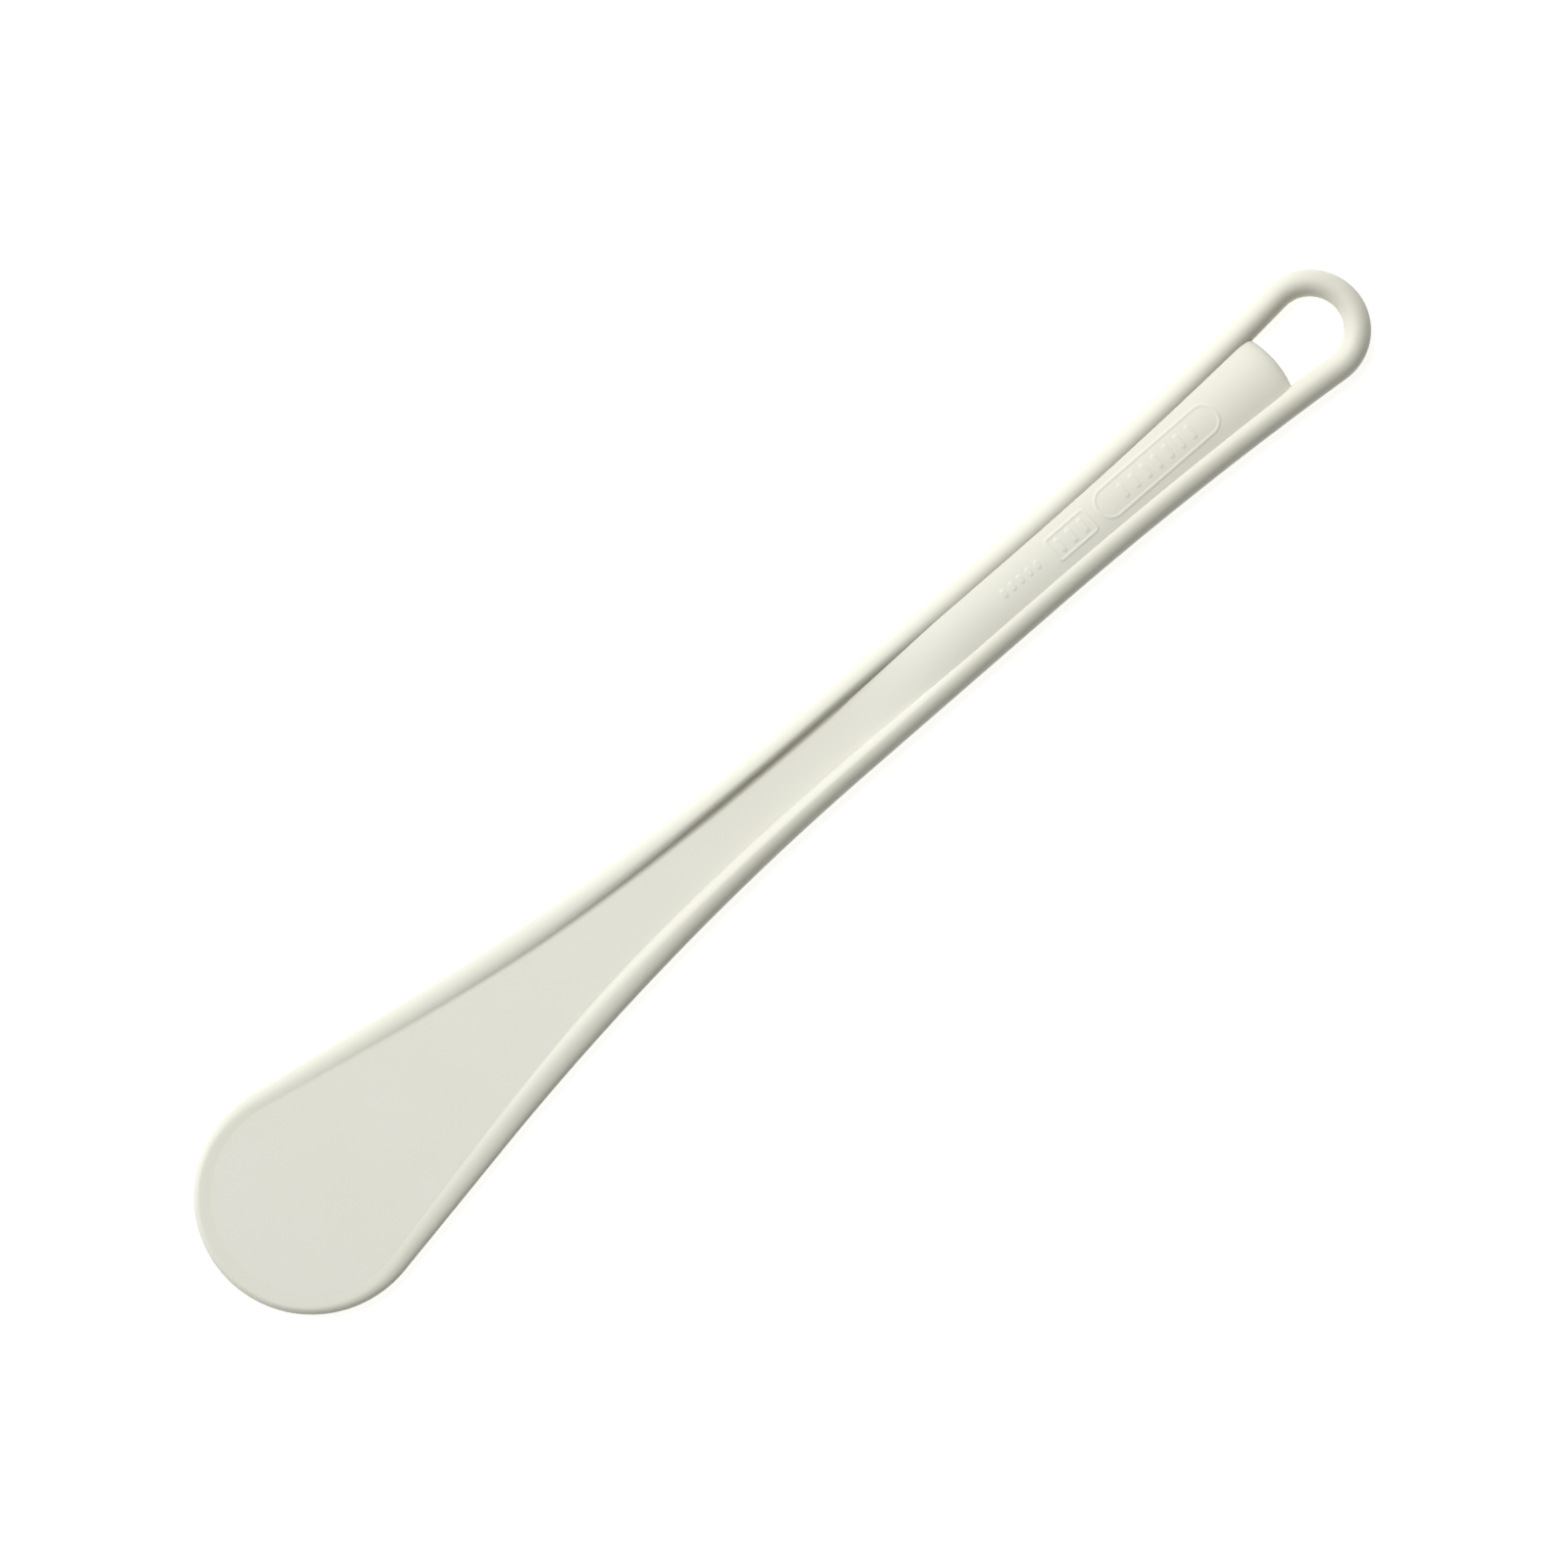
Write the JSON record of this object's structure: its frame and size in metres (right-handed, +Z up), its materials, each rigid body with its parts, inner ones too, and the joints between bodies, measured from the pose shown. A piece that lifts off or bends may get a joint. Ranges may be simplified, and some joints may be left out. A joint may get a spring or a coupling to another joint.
{
  "type": "kitchen spatula",
  "caption": "Moulded kitchen mixing spatula: round-ended flat blade, bead-edged neck, domed handle core and an open hanging loop.",
  "frame": {"origin": "centre of the footprint, on the plane that the spatula lies on", "axes": "+X from the blade's tip to the hanging loop, +Y to the left of the handle, +Z up out of the marked front face"},
  "size_m": [0.3, 0.0472, 0.0061],
  "materials": {
    "ivory_web": "fine satin mould texture on ivory glass-filled polyamide, cooler and duller than the edge bead",
    "ivory_bead": "smooth satin ivory glass-filled polyamide, with a hairline parting line along its outer edge",
    "ivory_core": null
  },
  "bodies": {
    "root": {"blade_web": "ivory_web", "tip_lip": "ivory_bead", "left_rail": "ivory_bead", "right_rail": "ivory_bead", "handle_core": "ivory_core", "hanging_loop": "ivory_bead"}
  },
  "joints": []
}
